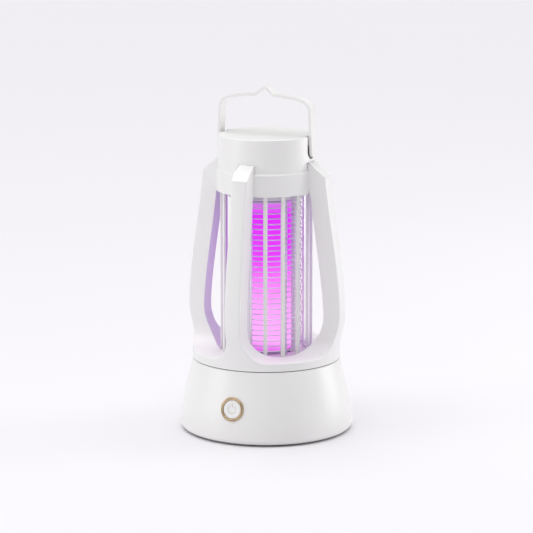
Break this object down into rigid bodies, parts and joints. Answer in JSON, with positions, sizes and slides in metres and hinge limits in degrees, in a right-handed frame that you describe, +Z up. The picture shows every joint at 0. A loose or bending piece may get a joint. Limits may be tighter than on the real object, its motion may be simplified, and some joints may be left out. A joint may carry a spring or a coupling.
{
  "type": "electric bug zapper",
  "caption": "Lantern-style rechargeable bug zapper: flared base with power button, post cage round a lit grid tower, round cap and swinging carry handle.",
  "frame": {"origin": "on the floor, under the middle of the base", "axes": "+Z up along the lamp's axis; the power button faces -Y; the handle's pivots lie along X"},
  "size_m": [0.1244, 0.1244, 0.2482],
  "materials": {
    "white_plastic": "satin moulded plastic",
    "gold_metal": "brushed, gold coloured",
    "steel": "plain",
    "grid_wire": "drawn wire",
    "grey_rubber": "matt",
    "white_rubber": "matt",
    "dark_plastic": "matt",
    "cell_wrap": "heat-shrink wrap",
    "lead_insulation": "flexible insulation",
    "circuit_board": "solder mask",
    "white_board": "white solder mask",
    "capacitor_lacquer": "dipped lacquer",
    "light_pipe": "clear moulding",
    "lamp_cap_plastic": "satin",
    "glowing_tube": "frosted and lit from inside",
    "led_lens": "clear lens"
  },
  "bodies": {
    "base": {"base_housing": "white_plastic", "bottom_cover": "white_plastic", "foot_ring": "grey_rubber", "cover_screws": "steel", "battery_cradle": "dark_plastic", "battery_cell": "cell_wrap", "battery_contacts": "steel", "battery_leads": "lead_insulation", "main_board": "circuit_board", "board_screws": "steel", "step_up_transformer": "dark_plastic", "high_voltage_capacitors": "capacitor_lacquer", "control_chips": "dark_plastic", "charge_board": "circuit_board", "charging_socket": "steel", "charge_light": "light_pipe", "port_flap_pin": "steel", "button_bezel": "gold_metal", "tact_switch": "dark_plastic", "switch_board": "circuit_board", "insect_tray": "white_plastic", "lamp_seat": "white_plastic", "seat_screws": "steel", "lamp_lower_cap": "lamp_cap_plastic", "lamp_tube": "glowing_tube", "lamp_upper_cap": "lamp_cap_plastic", "led_board": "white_board", "uv_leds": "led_lens", "lamp_leads": "lead_insulation", "grid_leads": "lead_insulation", "live_grid": "grid_wire", "return_grid": "grid_wire", "grid_pillars": "white_plastic", "grid_top_plate": "white_plastic"},
    "cage": {"cage_frame": "white_plastic", "guard_slats": "white_plastic", "top_cap": "white_plastic", "cap_screws": "steel", "handle_bushes": "grey_rubber"},
    "handle": {"carry_handle": "white_plastic"},
    "button": {"power_button": "white_plastic"},
    "flap": {"port_flap": "white_rubber"}
  },
  "joints": [
    {"name": "cage_lift", "type": "slide", "parent": "base", "child": "cage", "axis": [0, 0, 1], "range_m": [0, 0.125]},
    {"name": "handle_swing", "type": "hinge", "parent": "cage", "child": "handle", "pos_m": [0, 0, 0.204], "axis": [1, 0, 0], "range_deg": [-95, 95]},
    {"name": "power_button_press", "type": "slide", "parent": "base", "child": "button", "axis": [0, 0.9788, -0.2048], "range_m": [0, 0.0008], "stiffness_N_per_m": 900, "springref_m": -0.0008},
    {"name": "port_flap_hinge", "type": "hinge", "parent": "base", "child": "flap", "pos_m": [0, 0.0592, 0.0138], "axis": [-1, 0, 0], "range_deg": [0, 95]}
  ]
}
